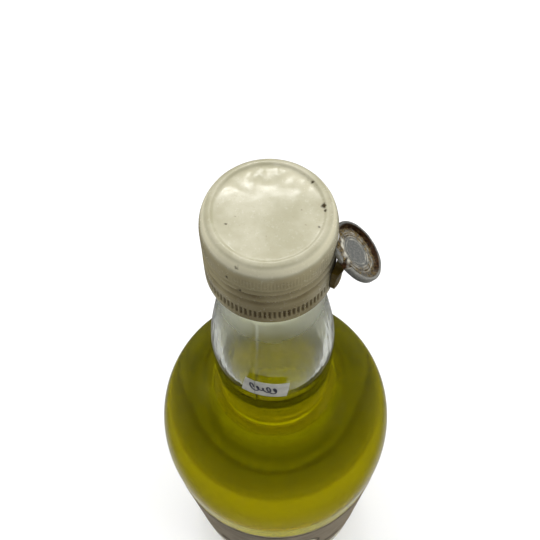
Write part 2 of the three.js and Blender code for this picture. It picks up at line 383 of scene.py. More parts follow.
def sheet(name, *shape):
    return mesh_object(name, *sheet_mesh(*shape), SHARP)


def stroke(path, width, surface, steps=24, thickness=2 * INK):
    """A line of ink on a sheet, along path(share) and width(share) across, where share runs from 0 to 1."""
    def place(along, side, out):
        share = along + 0.5
        ahead = (path(share + 1e-3) - path(share - 1e-3)).normalized()
        point = path(share) + Vector((-ahead.y, ahead.x)) * side * width(share)
        return surface(point.x, point.y, PAPER + out)
    return sheet_mesh(1, 1, thickness, steps, 2, place)


def inked(name, strokes):
    """One object of many strokes."""
    vertices, faces = [], []
    for more_vertices, more_faces in strokes:
        faces += [[len(vertices) + v for v in face] for face in more_faces]
        vertices += more_vertices
    return mesh_object(name, vertices, faces, SHARP)


def paint(piece, name, value):
    """Stores a number on each vertex, worked out from its place in millimetres."""
    layer = piece.data.attributes.new(name, "FLOAT", "POINT")
    layer.data.foreach_set("value", [value(v.co / MM) for v in piece.data.vertices])


def arc(centre_r, centre_z, run, rise, start, end, steps):
    """Points of an arc of an ellipse with the given half axes, from one angle to another."""
    points = []
    for i in range(steps + 1):
        angle = lerp(start, end, i / steps)
        points.append((centre_r + run * math.cos(angle), centre_z + rise * math.sin(angle)))
    return points


# Bottle and drink


def shoulder_normal(angle):
    return Vector((math.cos(angle) / SHOULDER_RUN, math.sin(angle) / SHOULDER_RISE)).normalized()


def shoulder_point(angle):
    r = BODY_RADIUS - SHOULDER_RUN + SHOULDER_RUN * math.cos(angle)
    return Vector((r, BODY_TOP + SHOULDER_RISE * math.sin(angle)))


def fillet_centre(angle):
    return shoulder_point(angle) + shoulder_normal(angle) * SHOULDER_FILLET


def fillet_angle():
    """Where on the shoulder's ellipse the fillet that also touches the neck begins."""
    low, high = 0.0, math.pi / 2
    while high - low > 1e-6:
        middle = (low + high) / 2
        if fillet_centre(middle).x > NECK_RADIUS + SHOULDER_FILLET:
            low = middle
        else:
            high = middle
    return low


def shoulder_curve(inset):
    """The shoulder and the fillet that joins it to the neck, moved inwards by the inset."""
    top = fillet_angle()
    points = []
    for i in range(SHOULDER_STEPS + 1):
        angle = top * i / SHOULDER_STEPS
        points.append(tuple(shoulder_point(angle) - shoulder_normal(angle) * inset))
    centre = fillet_centre(top)
    normal = shoulder_normal(top)
    start = math.atan2(-normal.y, -normal.x)
    radius = SHOULDER_FILLET + inset
    return points + arc(centre.x, centre.y, radius, radius, start, -math.pi, FILLET_STEPS)[1:]


def neck_radius(z):
    return lerp(NECK_RADIUS, THROAT_RADIUS, smooth(NECK_BULGE_TOP, THROAT_BOTTOM, z))


def neck_curve(inset):
    heights = [lerp(NECK_BULGE_TOP, THROAT_BOTTOM, i / NECK_STEPS) for i in range(NECK_STEPS + 1)]
    return [(neck_radius(z) - inset, z) for z in heights]


def punt_curve(height):
    shares = [i / PUNT_STEPS for i in range(PUNT_STEPS + 1)]
    return [(STAND_RADIUS * s, height + PUNT * (1 - s * s)) for s in shares]


def heel_curve(wall, floor, radius, steps):
    """The round corner between a floor and a wall."""
    return arc(wall - radius, floor + radius, radius, radius, -math.pi / 2, 0, steps)


def inner_base(inset):
    floor = FLOOR + inset
    return punt_curve(floor) + heel_curve(BODY_RADIUS - WALL - inset, floor, INNER_HEEL, INNER_HEEL_STEPS)


def seam(radius, z, angle):
    """Raises a fine mould seam on the outside of the neck and upper shoulder, on two sides."""
    outer = radius > neck_radius(max(z, NECK_BULGE_TOP)) - WALL / 2
    if not outer or z < SEAM_FADE[0]:
        return radius, z
    off = (angle - SEAM_ANGLE + math.pi / 2) % math.pi - math.pi / 2
    return radius + SEAM_HEIGHT * smooth(*SEAM_FADE, z) * bell(off * radius, SEAM_WIDTH), z


def make_bottle():
    heel = heel_curve(BODY_RADIUS, 0, HEEL, HEEL_STEPS)
    outside = punt_curve(0) + heel + shoulder_curve(0) + neck_curve(0)
    finish = [
        (THROAT_RADIUS, FINISH_BOTTOM - FINISH_BEVEL),
        (FINISH_RADIUS, FINISH_BOTTOM),
        *arc(FINISH_RADIUS - LIP_RUN, MOUTH_TOP - LIP_RISE, LIP_RUN, LIP_RISE, 0, math.pi / 2, LIP_STEPS),
        (MOUTH_RADIUS + FINISH_BEVEL, MOUTH_TOP),
        (MOUTH_RADIUS, MOUTH_TOP - FINISH_BEVEL),
        (MOUTH_RADIUS, FINISH_BOTTOM),
    ]
    inside = inner_base(0) + shoulder_curve(WALL) + neck_curve(WALL)
    bottle = turned("bottle_glass", outside + finish + inside[::-1], BOTTLE_SEGMENTS, seam)
    for glass in GLASSES:
        bottle.data.materials.append(glass_material(*glass))
    part_glass(bottle.data)
    return bottle


def part_glass(mesh):
    """Gives each face its glass: outside or inside, below or above the drink's level."""
    for face in mesh.polygons:
        middle = face.center / MM
        floor = face.normal.z > 0.5 and middle.z < FLOOR + INNER_HEEL
        inside = floor or middle.xy.dot(face.normal.xy) < 0
        above = middle.z > LEVEL
        face.material_index = 2 * above + inside


def make_drink():
    """The liqueur, reaching just into the glass, with its surface drawn up at the wall."""
    inset = WALL - LIQUID_BITE
    edge = NECK_RADIUS - inset
    profile = inner_base(-LIQUID_BITE) + shoulder_curve(inset)
    for i in range(MENISCUS_STEPS + 1):
        r = edge * (1 - (i / MENISCUS_STEPS) ** 2)
        rise = math.exp((r - edge) / MENISCUS) - MENISCUS_DIP
        profile.append((r, LEVEL + MENISCUS * rise))
    return turned("drink", profile, DRINK_SEGMENTS)


# Cap

# Dark spots and chips: x and y of the middle, its depth below the cap's top, and the size
CAP_MARKS = [
    (12.0, 0.9, 0.3, 0.75),
    (12.3, -0.5, 0.3, 0.5),
    (9.9, 7.0, 0.3, 0.5),
    (9.0, 7.8, 0.3, 0.35),
    (10.7, -4.4, 0.3, 0.42),
    (-0.7, -6.2, 0.3, 0.28),
    (-9.2, -2.9, 0.3, 0.36),
    (-7.2, -1.0, 0.3, 0.26),
    (7.2, 0.0, 0.3, 0.22),
    (7.9, -3.8, 0.3, 0.2),
    (-7.5, -13.4, 1.4, 1.05),
    (-7.1, -14.3, 10.0, 0.8),
    (-9.6, -12.6, 6.6, 0.7),
]
MARK_RAGGED = 0.7
MARK_GRAIN = 0.5
MARK_CORE = 0.4  # share of its size that is fully dark

# Shares of dirt, yellowing, painted shade and painted light on the cap. Heights are counted down from its
# top
CLEAN_TOP = 2.0
SLOT_DIRT = 0.7
THREAD_DIRT = 0.4
FLUTE_DIRT = 0.18
# painted shade on the side below the rounding
SIDE_SHADE = 0.16
SIDE_SHADE_FADE = (4.5, 7.5)
# darker towards the bottom
LOW_DARKENING = 0.3
LOW_DARKENING_FADE = (8.0, 20.0)
CLOUD_DIRT = 0.2
CLOUD_SIZE = 5.0
WORN_SIZE = 2.5
DARKEST_ANGLE = 0.2  # the angle round the cap where it is darkest, with no painted side light
SIDE_LIGHT = 0.35  # painted light: less dark away from there, so the sides come out lighter than the front
SIDE_LIGHT_FADE = (0.6, 1.1)
# yellowing and painted shade on the side below the rounding
YELLOW_SHADE_FADE = (2.3, 4.0)
YELLOW_SHADE_RAGGED = 0.6
YELLOW_SHADE_SIZE = 3.0
RIGHT_SHEEN = 0.75  # painted reflection: less yellow and shade to the right, where the side shows a grey sheen
RIGHT_SHEEN_FADE = (0.4, 1.1)
# painted highlight: the upper part of the rounding is lighter between these heights
CAP_RIM_HIGHLIGHT_START = (0.4, 1.2)
CAP_RIM_HIGHLIGHT_END = (2.2, 3.2)


def cap_side(height):
    """Radius of the cap's straight side at a height below its top."""
    return lerp(CAP_TOP_RADIUS, CAP_SKIRT_RADIUS, height / (CAP_TOP - CAP_BOTTOM))


def cap_radius(height):
    """Radius of the cap's outside, with the rounding at its top."""
    if height > CAP_CORNER_RISE:
        return cap_side(height)
    share = (CAP_CORNER_RISE - height) / CAP_CORNER_RISE
    return cap_side(CAP_CORNER_RISE) - CAP_CORNER_RUN * (1 - math.sqrt(max(0.0, 1 - share * share)))


def thread_depth(height, angle):
    turns = wave(TURN * height / THREAD_PITCH + angle)
    return THREAD_DEPTH * band(THREAD_FROM, THREAD_TO, THREAD_FADE, height) * turns


def slot_share(height, angle):
    """1 in the floor of a slot and 0 between the slots."""
    phase = abs((angle * SLOT_COUNT / TURN) % 1 - 0.5) * 2
    across = 1 - smooth(SLOT_SHARE - SLOT_EDGE, SLOT_SHARE + SLOT_EDGE, phase)
    return band(SLOT_FROM, SLOT_TO, SLOT_FADE, height) * across


def flute_share(height, angle):
    """1 in the floor of a flute and 0 between the flutes."""
    return band(FLUTE_FROM, FLUTE_TO, FLUTE_FADE, height) * wave(FLUTE_COUNT * angle)


def panel_dent(place, radius):
    """Depth of the dents in the sunk panel, which are deeper at its back."""
    dent = DENT * (1 - wobble(place, DENT_SIZE)) * smooth(*DENT_FADE, radius)
    back = smooth(*BACK_DENT_FROM, place.y) * smooth(*BACK_DENT_FADE, radius)
    return dent + BACK_DENT * (1 + wobble(place, BACK_DENT_SIZE)) * back


def cap_shift(radius, z, angle):
    """Presses thread, flutes, slots and small dents into the cap's outer surface."""
    height = CAP_TOP - z
    place = polar(radius, angle, z)
    if height < CAP_PANEL_DROP + 1e-3:
        return radius, z - panel_dent(place, radius)
    if radius < cap_radius(height) - CAP_WALL / 2:
        return radius, z
    depth = thread_depth(height, angle)
    depth += FLUTE_DEPTH * flute_share(height, angle)
    depth += SLOT_DEPTH * slot_share(height, angle)
    depth += DENT / 2 * (1 + wobble(place, SIDE_DENT_SIZE))
    return radius - depth, z


def cap_profile():
    """The cap's outline, from the middle of its ceiling round the lower edge to the panel's middle."""
    inner = CAP_TOP_RADIUS - CAP_WALL
    panel = CAP_TOP - CAP_PANEL_DROP
    ceiling = panel - CAP_WALL
    height = CAP_TOP - CAP_BOTTOM
    corner_r = cap_radius(0)
    corner_z = CAP_TOP - CAP_CORNER_RISE
    points = [(0, ceiling)]
    points += arc(corner_r, corner_z, inner - corner_r, ceiling - corner_z, math.pi / 2, 0, CAP_INNER_STEPS)
    points += [(inner, CAP_BOTTOM), (cap_side(height) - CAP_BEVEL, CAP_BOTTOM)]
    for i in range(CAP_ROWS):
        h = lerp(height - CAP_BEVEL, CAP_CORNER_RISE, i / CAP_ROWS)
        points.append((cap_side(h), CAP_TOP - h))
    points += arc(corner_r, corner_z, CAP_CORNER_RUN, CAP_CORNER_RISE, 0, math.pi / 2, CAP_CORNER_STEPS)
    for i in range(1, CAP_RINGS + 1):
        r = corner_r * (1 - i / CAP_RINGS)
        points.append((r, panel + CAP_PANEL_DROP * smooth(corner_r - CAP_PANEL_SLOPE, corner_r, r)))
    return points


def cap_grime_and_shade(place):
    """Dirt in the slots, the thread and the flutes, painted shade on the side, darker downwards, and painted
    light to the sides.
    """
    height = CAP_TOP - place.z
    if height < CLEAN_TOP:
        return 0.0
    angle = angle_of(place)
    worn = 0.75 + 0.5 * wobble(place, WORN_SIZE)
    dirt_and_shade = SLOT_DIRT * slot_share(height, angle) * worn
    dirt_and_shade += THREAD_DIRT * thread_depth(height, angle) / THREAD_DEPTH * worn
    dirt_and_shade += FLUTE_DIRT * flute_share(height, angle)
    dirt_and_shade += SIDE_SHADE * smooth(*SIDE_SHADE_FADE, height)
    dirt_and_shade += LOW_DARKENING * smooth(*LOW_DARKENING_FADE, height)
    dirt_and_shade += CLOUD_DIRT * wobble(place, CLOUD_SIZE)
    dirt_and_shade -= SIDE_LIGHT * smooth(*SIDE_LIGHT_FADE, abs(angle - DARKEST_ANGLE))
    return clamp(dirt_and_shade)


def cap_yellow_and_shade(place):
    """Yellowing and painted shade on the cap's side, strongest at the front and fading to its right as a
    painted reflection.
    """
    ragged = CAP_TOP - place.z + YELLOW_SHADE_RAGGED * wobble(place, YELLOW_SHADE_SIZE)
    return smooth(*YELLOW_SHADE_FADE, ragged) * (1 - RIGHT_SHEEN * smooth(*RIGHT_SHEEN_FADE, angle_of(place)))


def cap_rim_highlight(place):
    """1 on the upper part of the rounding, which is lighter as a painted highlight."""
    height = CAP_TOP - place.z
    return smooth(*CAP_RIM_HIGHLIGHT_START, height) * (1 - smooth(*CAP_RIM_HIGHLIGHT_END, height))


def cap_marks(place):
    """1 in the middle of each dark spot, with a ragged edge."""
    most = 0.0
    for x, y, depth, size in CAP_MARKS:
        off = (place - Vector((x, y, CAP_TOP - depth))).length
        ragged = size * (1 + MARK_RAGGED * wobble(place, MARK_GRAIN))
        most = max(most, 1 - smooth(MARK_CORE * ragged, ragged, off))
    return most


def make_cap():
    cap = turned("cap", cap_profile(), CAP_SEGMENTS, cap_shift, CAP_SHARP)
    # dirt in the hollows, painted shade on the side and painted light towards the sides
    paint(cap, "grime_and_shade", cap_grime_and_shade)
    # yellowing and painted shade on the side, with a painted reflection to the right
    paint(cap, "yellow_and_shade", cap_yellow_and_shade)
    # painted highlight on the upper part of the rounding
    paint(cap, "rim", cap_rim_highlight)
    paint(cap, "marks", cap_marks)
    return cap


# Seal and strap


def seal_frame():
    """Turns the seal's own axis, its +Z, to the way its face looks, and moves it to its place."""
    turn = Matrix.Rotation(SEAL_TURN, 4, "Z") @ Matrix.Rotation(math.pi / 2 - SEAL_LIFT, 4, "Y")
    return Matrix.Translation(SEAL_CENTRE) @ turn


def seal_floor(radius):
    """Height of the dish's floor: a smooth middle, two fine rings and a broad ring between them."""
    return -SEAL_DISH + sum(rise * bell(radius - ring, width) for ring, width, rise in SEAL_RINGS)


def seal_profile():
    """The seal's outline, from the middle of its back round the rolled rim to the dish's middle."""
    roll = SEAL_RIM / 2
    points = [
        (0, -SEAL_DEPTH),
        (SEAL_BACK_RADIUS - 3 * SEAL_BEVEL, -SEAL_DEPTH),
        (SEAL_BACK_RADIUS, -SEAL_DEPTH + SEAL_BEVEL),
        (SEAL_RADIUS - SEAL_BEVEL, -SEAL_EDGE - SEAL_BEVEL),
        (SEAL_RADIUS, -SEAL_EDGE),
        *arc(SEAL_RADIUS - roll, -roll, roll, roll, 0, math.pi, SEAL_ROLL_STEPS),
        (SEAL_FLOOR_RADIUS + SEAL_BEVEL / 2, -SEAL_DISH + 1.5 * SEAL_BEVEL),
    ]
    for i in range(SEAL_FLOOR_STEPS + 1):
        r = SEAL_FLOOR_RADIUS * (1 - i / SEAL_FLOOR_STEPS)
        points.append((r, seal_floor(r)))
    return points


def seal_turn(place):
    """Degrees round the seal: 0 at its front, negative on the side next to the cap."""
    return math.degrees(angle_of(place))


def crushed(place):
    """1 where the dish is crushed, on the side next to the cap."""
    turn = seal_turn(place)
    round_it = smooth(*CRUSH_START, turn) * (1 - smooth(*CRUSH_END, turn))
    return round_it * smooth(*CRUSH_RADIUS, place.xy.length)


def torn(place):
    """1 in the tear across the rim, at the end of the crushed side."""
    off = abs(seal_turn(place) - TEAR_TURN - TEAR_WAVES * wobble(place, 0.8))
    return (1 - smooth(*TEAR_FADE, off)) * smooth(*TEAR_RADIUS, place.xy.length)


def seal_shift(radius, z, angle):
    """Small knocks in the pressed metal, fine ribs on the broad ring, and the crushed side with its tear."""
    place = polar(radius, angle, z)
    knock = KNOCK * (wobble(place, KNOCK_SIZE) - 1) * smooth(0, 1, radius)
    if z > SEAL_FRONT:
        knock += RIB_HEIGHT * bell(radius - BROAD_RING, BROAD_RING_WIDTH) * math.cos(RIB_COUNT * angle)
        z = lerp(z, CRUSH_HEIGHT + CRUSH_WAVES * wobble(place, 1.2), crushed(place))
        z = lerp(z, TEAR_HEIGHT, torn(place))
    return radius, z + knock


def make_seal():
    seal = turned("seal", seal_profile(), SEAL_SEGMENTS, seal_shift, SEAL_SHARP)
    # rust, and painted shade in the tear
    paint(seal, "rust_and_tear_shade", seal_rust_and_tear_shade)
    paint(seal, "stain", seal_stain)
    # painted highlights on the rim's front, the fine rings and the fold
    paint(seal, "highlight", seal_highlights)
    place = seal_frame()
    for vertex in seal.data.vertices:
        vertex.co = clear_of_cap(place @ (vertex.co / MM)) * MM
    return seal


def clear_of_cap(place):
    """Pushes a point out of the cap's side, against which the seal is pressed."""
    least = cap_side(CAP_TOP - place.z) + CAP_CLEARANCE
    radius = place.xy.length
    if radius >= least:
        return place
    return Vector((*(place.xy * least / radius), place.z))


# Rust, stains, painted shade in the tear and painted highlights on the seal. Fades across it are shares of
# its radius
RUST_SIDE = Vector((0.66, 0.75))  # the way to its rusted side
RUST_FADE = (-0.3, 0.3)
RUST_RADIUS = (5.9, 6.5)
RUST_RAGGED = 0.5
RUST_TOP = (-0.3, -0.05)
STAIN = 0.5
STAIN_BY_RUST = 0.4
STAIN_CRUSHED = 0.3
STAIN_PATCHES = 1.4
STAIN_FADE = (-0.6, 0.6)
STAIN_RADIUS = (3.3, 4.6)
STAIN_END = 6.9
# painted highlights on the fine rings, the rim's front and the fold
HIGHLIGHT_RINGS = (3.15, 3.9, 4.5, 5.1)
RING_HIGHLIGHT = 0.6
RING_HIGHLIGHT_WIDTH = 0.14
HIGHLIGHT_PATCHES = 1.4
RIM_HIGHLIGHT = 0.2
RIM_HIGHLIGHT_RADIUS = (6.8, 7.1)
RIM_HIGHLIGHT_FADE = (0.1, 0.7)
FOLD_START = (-125, -112)
FOLD_END = (-50, -40)
FOLD_RADIUS = 4.9
FOLD_WAVES = 0.5
FOLD_WIDTH = 0.5


def rusted_side(place, fade):
    """Grows from 0 to 1 across the seal, towards its rusted side."""
    return smooth(*fade, RUST_SIDE.dot(place.xy) / SEAL_RADIUS)


def seal_rust_and_tear_shade(place):
    """Dark rust on the inside of the rim, from the right round to the back, and painted shade in the tear.
    """
    if place.z < SEAL_FRONT:
        return torn(place)
    ragged = place.xy.length + RUST_RAGGED * wobble(place, 1.0)
    wall = smooth(*RUST_RADIUS, ragged) * (1 - smooth(*RUST_TOP, place.z))
    return max(wall * rusted_side(place, RUST_FADE), torn(place))


def seal_stain(place):
    """Tan stains on the dish's floor, strongest beside the rust and on the crushed side."""
    radius = place.xy.length
    if place.z < SEAL_FRONT or radius > STAIN_END:
        return 0.0
    share = STAIN + STAIN_BY_RUST * rusted_side(place, STAIN_FADE) + STAIN_CRUSHED * crushed(place)
    patches = 1 + STAIN_PATCHES * wobble(place, 0.8)
    return clamp(smooth(*STAIN_RADIUS, radius) * share * patches)


def seal_highlights(place):
    """Painted highlights on the rim's front, on fine rings and along the fold of the crushed side."""
    if place.z < SEAL_FRONT:
        return 0.0
    radius = place.xy.length
    turn = seal_turn(place)
    rim = RIM_HIGHLIGHT * smooth(*RIM_HIGHLIGHT_RADIUS, radius) * smooth(*RIM_HIGHLIGHT_FADE, -place.y / SEAL_RADIUS)
    rings = sum(RING_HIGHLIGHT * bell(radius - ring, RING_HIGHLIGHT_WIDTH) for ring in HIGHLIGHT_RINGS)
    rings *= 0.5 + HIGHLIGHT_PATCHES * wobble(place, 1.5)
    fold = smooth(*FOLD_START, turn) * (1 - smooth(*FOLD_END, turn))
    fold *= bell(radius - FOLD_RADIUS - FOLD_WAVES * wobble(place, 1.0), FOLD_WIDTH)
    return clamp(rim + rings + fold * (1.1 + wobble(place, 0.9)))


def strap_place(x, y, out):
    """Bends the strap round the cap, rounds its lower end and lets it lean out at the top."""
    z = (STRAP_TOP + STRAP_BOTTOM) / 2 + y
    rise = min(1.0, (z - STRAP_BOTTOM) / STRAP_END_HEIGHT)
    swell = math.sqrt(max(0.0, 1 - (1 - rise) ** 2))
    width = lerp(STRAP_END_WIDTH, STRAP_WIDTH, swell)
    bow = STRAP_BOW * (wobble((x, y, 0), STRAP_BOW_SIZE) - 1)
    outside = STRAP_GAP + STRAP_FLARE * smooth(STRAP_BEND, STRAP_TOP, z) + STRAP_THICKNESS + bow
    crown = 1 - STRAP_CROWN * (2 * x / STRAP_WIDTH) ** 2
    share = out / STRAP_THICKNESS * lerp(STRAP_END_SHARE, 1, swell) * crown
    radius = CAP_SKIRT_RADIUS + lerp(CAP_CLEARANCE, outside, share)
    return polar(radius, STRAP_TURN + x * width / STRAP_WIDTH / CAP_SKIRT_RADIUS, z)


def strap_shade_and_dark_end(place):
    """1 on the strap's darker parts: painted shade at its front edge, and its lower end."""
    off = CAP_SKIRT_RADIUS * (angle_of(place) - STRAP_TURN) + 0.5 * wobble(place, 1.4)
    return max(1 - smooth(*STRAP_SHADE_EDGE, off), 1 - smooth(*STRAP_DARK_END, place.z))


def make_strap():
    height = STRAP_TOP - STRAP_BOTTOM
    strap = sheet("strap", STRAP_WIDTH, height, STRAP_THICKNESS, *STRAP_STEPS, strap_place)
    # painted shade at the front edge, and the darker lower end
    paint(strap, "inner", strap_shade_and_dark_end)
    return strap


# Paper


def label_place(x, y, out):
    z = (LABEL_TOP + LABEL_BOTTOM) / 2 + y
    return polar(BODY_RADIUS + out, x / BODY_RADIUS, z)


def make_label():
    label = sheet("label", LABEL_WIDTH, LABEL_TOP - LABEL_BOTTOM, PAPER, *LABEL_STEPS, label_place)
    paint(label, "across", lambda place: BODY_RADIUS * abs(angle_of(place)))
    return label


def line(start, end, width):
    """A straight stroke on the label."""
    return stroke(
        lambda share: Vector(start).lerp(Vector(end), share),
        lambda share: width,
        label_place,
        LINE_STEPS,
    )


def leaf(root, angle, length):
    """A leaf on the label, from its root outwards."""
    tip = Vector((math.cos(angle), math.sin(angle))) * length
    bend = Vector((-tip.y, tip.x)) * LEAF_BEND
    middle = Vector(root)
    return stroke(
        lambda share: middle + tip * share + bend * math.sin(math.pi * share),
        lambda share: LEAF_TIP + LEAF_WIDTH * length * max(0.0, math.sin(math.pi * share)),
        label_place,
    )


def leaf_pair(root, lean, length):
    """Two leaves from one root, leaning to the right and to the left."""
    return [leaf(root, angle, length) for angle in (lean, math.pi - lean)]


def oval(run, rise, width):
    return stroke(
        lambda share: Vector((run * math.cos(TURN * share), OVAL_HEIGHT + rise * math.sin(TURN * share))),
        lambda share: width,
        label_place,
        OVAL_STEPS,
    )


def make_label_field():
    """The pale oval in the label's middle."""
    return inked("label_field", [stroke(
        lambda share: Vector((lerp(-OVAL_RUN, OVAL_RUN, share), OVAL_HEIGHT)),
        lambda share: 2 * OVAL_RISE * math.sqrt(max(0.0, 1 - (2 * share - 1) ** 2)),
        label_place,
        FIELD_STEPS,
        INK,
    )])


def make_label_print():
    """A plain print: a frame with a row of leaves, a ringed sprig and two bars."""
    right, top = LABEL_WIDTH / 2 - FRAME_INSET, (LABEL_TOP - LABEL_BOTTOM) / 2 - FRAME_INSET
    corners = [(-right, -top), (right, -top), (right, top), (-right, top)]
    strokes = [line(a, b, FRAME_LINE) for a, b in zip(corners, corners[1:] + corners[:1])]
    strokes += [oval(OVAL_RUN + out, OVAL_RISE + out, width) for out, width in OVAL_LINES]
    strokes += [line((-half, y), (half, y), width) for half, y, width in BARS]
    for i in range(-ROW_LEAVES, ROW_LEAVES + 1):
        strokes += leaf_pair((i * ROW_SPACING, top + ROW_RISE), ROW_LEAN, ROW_LEAF)
    foot = OVAL_HEIGHT - SPRIG_DROP
    strokes.append(line((0, foot), (0, foot + SPRIG_LENGTH), SPRIG_LINE))
    for i in range(SPRIG_PAIRS):
        strokes += leaf_pair((0, foot + SPRIG_FIRST + SPRIG_SPACING * i), SPRIG_LEAN, SPRIG_LEAF - i)
    return inked("label_print", strokes)


def sticker_place(x, y, out):
    across = x * math.cos(STICKER_TILT) - y * math.sin(STICKER_TILT)
    up = x * math.sin(STICKER_TILT) + y * math.cos(STICKER_TILT)
    z = STICKER_MIDDLE + up
    return polar(neck_radius(z) + out, STICKER_TURN + across / neck_radius(STICKER_MIDDLE), z)


def make_sticker():
    return sheet("sticker", STICKER_WIDTH, STICKER_HEIGHT, PAPER, *STICKER_STEPS, sticker_place)


def scribble(share):
    """Middle line of a row of loose pen loops that grow and shrink."""
    turn = TURN * SCRIBBLE_LOOPS * share
    size = 1 + LOOP_CHANGE * math.sin(LOOP_CHANGES * share + 1)
    loop = Vector((LOOP_RUN * math.cos(turn + LOOP_SLANT), LOOP_RISE * math.sin(turn)))
    return SCRIBBLE_FROM.lerp(SCRIBBLE_TO, share) + loop * size


def make_scribble():
    pen = stroke(scribble, lambda share: PEN_WIDTH, sticker_place, SCRIBBLE_STEPS)
    return inked("sticker_ink", [pen])


# Materials


def linear(red, green, blue):
    """A colour given as it looks on screen, 0 to 255, as the shader wants it."""
    values = []
    for value in (red, green, blue):
        share = value / 255
        values.append(share / 12.92 if share <= 0.04045 else ((share + 0.055) / 1.055) ** 2.4)
    return (*values, 1.0)


# Colours
ENAMEL_DULL = linear(160, 156, 131)
ENAMEL_PALE = linear(177, 173, 151)
# painted highlight on the cap's rounding
ENAMEL_RIM_HIGHLIGHT = linear(204, 199, 172)
# yellowed enamel, darkened as painted shade
ENAMEL_YELLOW_SHADED = linear(156, 147, 114)
ENAMEL_SPECK = linear(112, 100, 70)
# dirt, also used as painted shade on the side
ENAMEL_GRIME_AND_SHADE = linear(92, 78, 48)
ENAMEL_CHIP = linear(58, 48, 31)
SEAL_GREY = linear(122, 124, 122)
SEAL_PALE = linear(168, 166, 158)
# colour of the painted highlights
SEAL_HIGHLIGHT = linear(238, 234, 218)
STAIN_DARK = linear(72, 56, 30)
STAIN_TAN = linear(168, 148, 104)
# rust colours, also used as painted shade in the tear
RUST_AND_SHADE_DARK = linear(16, 7, 2)
RUST_AND_SHADE_BROWN = linear(66, 40, 16)
LACQUER_DULL = linear(124, 106, 56)
LACQUER_PALE = linear(152, 136, 86)
# painted shade at the front edge, and the lower end
LACQUER_DARK = linear(92, 74, 14)
LABEL_DARK = linear(124, 112, 92)
LABEL_PALE = linear(146, 134, 112)
LABEL_FIBRE = linear(184, 172, 146)
BORDER_DULL = linear(160, 152, 121)
BORDER_PALE = linear(180, 172, 142)
CREAM_THIN = linear(196, 188, 160)
CREAM_FULL = linear(212, 204, 178)
PRINT_THIN = linear(92, 78, 58)
PRINT_FULL = linear(58, 48, 36)
PEN_THIN = linear(92, 92, 104)
PEN_FULL = linear(44, 44, 58)
# the sticker's white and its smears, greyed as painted shade
STICKER_SHADED = linear(186, 186, 177)
STICKER_SMEAR_SHADED = linear(166, 166, 157)


def new_tree(name):
    material = bpy.data.materials.new(name)
    material.use_nodes = True
    material.node_tree.nodes.clear()
    return material, material.node_tree


def add(tree, kind, inputs=None, **settings):
    """A node with its settings, and its inputs set to values or linked to sockets."""
    made = tree.nodes.new(kind)
    for key, value in settings.items():
        setattr(made, key, value)
    for key, value in (inputs or {}).items():
        if isinstance(value, bpy.types.NodeSocket):
            tree.links.new(value, made.inputs[key])
        else:
            made.inputs[key].default_value = value
    return made


def object_place(tree):
    return add(tree, "ShaderNodeTexCoord").outputs["Object"]


def object_height(tree):
    return add(tree, "ShaderNodeSeparateXYZ", {0: object_place(tree)}).outputs["Z"]


def stretched(tree, place, factor):
    """Squeezes heights by a factor, so that noise read there runs into upright streaks."""
    scale = add(tree, "ShaderNodeVectorMath", {0: place, 1: (1, 1, factor)}, operation="MULTIPLY")
    return scale.outputs[0]


def grain(tree, place, size, detail=4.0, rough=0.55):
    """Noise from 0 to 1 with features of a size in millimetres."""
    inputs = {"Vector": place, "Scale": 1 / (size * MM), "Detail": detail, "Roughness": rough}
    return add(tree, "ShaderNodeTexNoise", inputs).outputs["Fac"]


def mapped(tree, value, low, high, new_low=0.0, new_high=1.0):
    inputs = {"Value": value, "From Min": low, "From Max": high, "To Min": new_low, "To Max": new_high}
    return add(tree, "ShaderNodeMapRange", inputs, interpolation_type="SMOOTHSTEP").outputs["Result"]


def mixed(tree, share, first, second):
    """Blends two colours."""
    inputs = {0: share, 6: first, 7: second}
    return add(tree, "ShaderNodeMix", inputs, data_type="RGBA").outputs[2]


def ramp(tree, value, stops):
    """A colour that follows a value through stops of (place from 0 to 1, colour)."""
    made = add(tree, "ShaderNodeValToRGB", {0: value})
    made.color_ramp.interpolation = "EASE"
    elements = made.color_ramp.elements
    for element, (place, colour) in zip(elements, (stops[0], stops[-1])):
        element.position = place
        element.color = colour
    for place, colour in stops[1:-1]:
        elements.new(place).color = colour
    return made.outputs["Color"]


def calculated(tree, operation, first, second=0.0):
    return add(tree, "ShaderNodeMath", {0: first, 1: second}, operation=operation).outputs[0]


def product(tree, first, second):
    return calculated(tree, "MULTIPLY", first, second)


def stored(tree, name):
    return add(tree, "ShaderNodeAttribute", attribute_name=name).outputs["Fac"]


def bump(tree, height, distance, strength=1.0):
    inputs = {"Height": height, "Distance": distance * MM, "Strength": strength}
    return add(tree, "ShaderNodeBump", inputs).outputs["Normal"]


def principled(tree, inputs):
    """Joins a material's one surface shader to its output."""
    shader = add(tree, "ShaderNodeBsdfPrincipled", inputs)
    return add(tree, "ShaderNodeOutputMaterial", {"Surface": shader.outputs[0]})


# The glass below and then above the drink's level, each time its outside and then its inside:
# name, tint, share of the usual reflection, and strength of the dried drips
GLASSES = [
    ("clear_glass", (0.82, 0.845, 0.74), 1.0, 0.0),
    ("wet_glass", (1, 1, 1), 0.05, 0.0),
    ("dusty_glass", (0.64, 0.66, 0.61), 1.0, 0.0),
    ("neck_glass", (0.98, 0.99, 0.75), 0.35, 0.4),
]
SMUDGE = 0.09  # roughness in finger marks
FROST = 0.3  # roughness of the upper neck
FROST_FADE = (240 * MM, 264 * MM)
STREAK_FADE = (205 * MM, 228 * MM)  # heights over which the upright streaks begin
STREAK_SQUEEZE = 0.09
DRIP_SHADE = (0.4, 0.4, 0.2)  # share of the tint that is left in a drip


